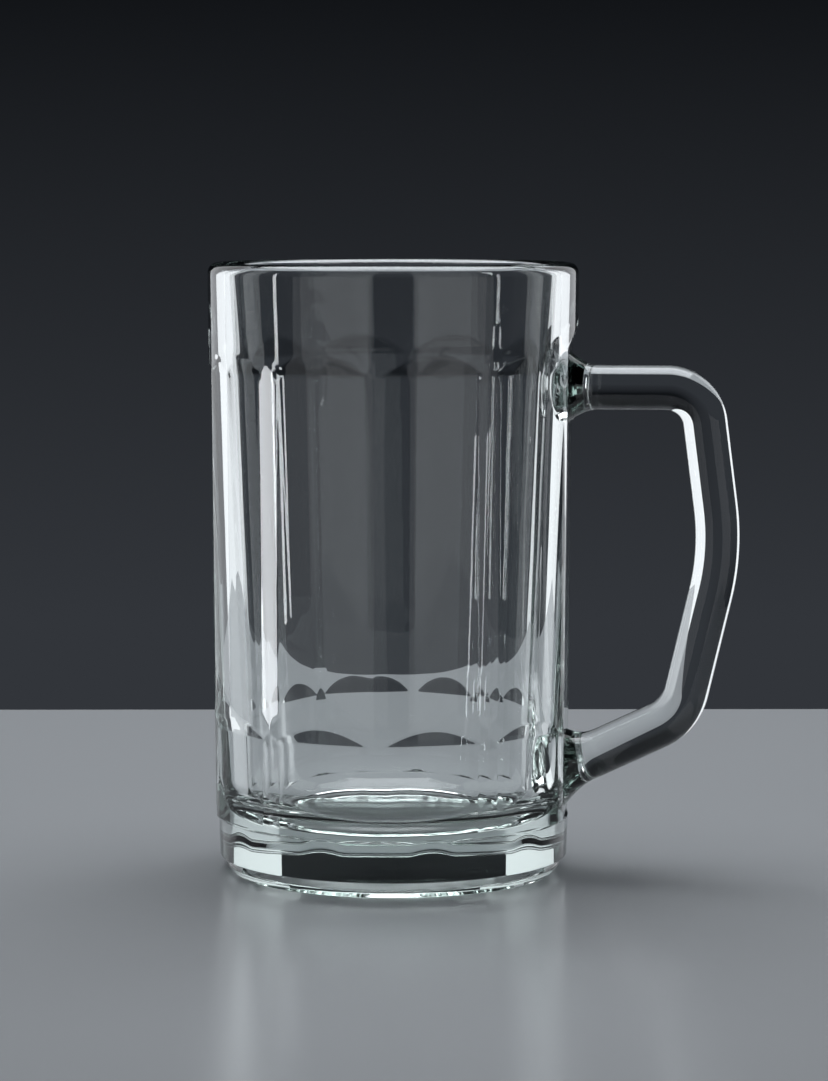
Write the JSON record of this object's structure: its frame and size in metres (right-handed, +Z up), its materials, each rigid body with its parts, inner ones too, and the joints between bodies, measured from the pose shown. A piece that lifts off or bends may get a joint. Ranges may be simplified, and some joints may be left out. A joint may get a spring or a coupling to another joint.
{
  "type": "beer mug",
  "caption": "Tall panelled beer mug in thick clear pressed glass, with a heavy base and a bowed side handle fused on at two flared roots.",
  "frame": {"origin": "middle of the footprint of body and handle together, at the level of the surface it stands on", "axes": "+Z up, parallel to the mug's axis, +X towards the handle, +Y to complete a right-handed set"},
  "size_m": [0.1304, 0.0908, 0.15],
  "materials": {
    "body_glass": "fire-polished clear pressed soda-lime glass",
    "handle_glass": "fire-polished clear pressed soda-lime glass"
  },
  "bodies": {
    "root": {"mug_body": "body_glass", "mug_handle": "handle_glass"}
  },
  "joints": []
}
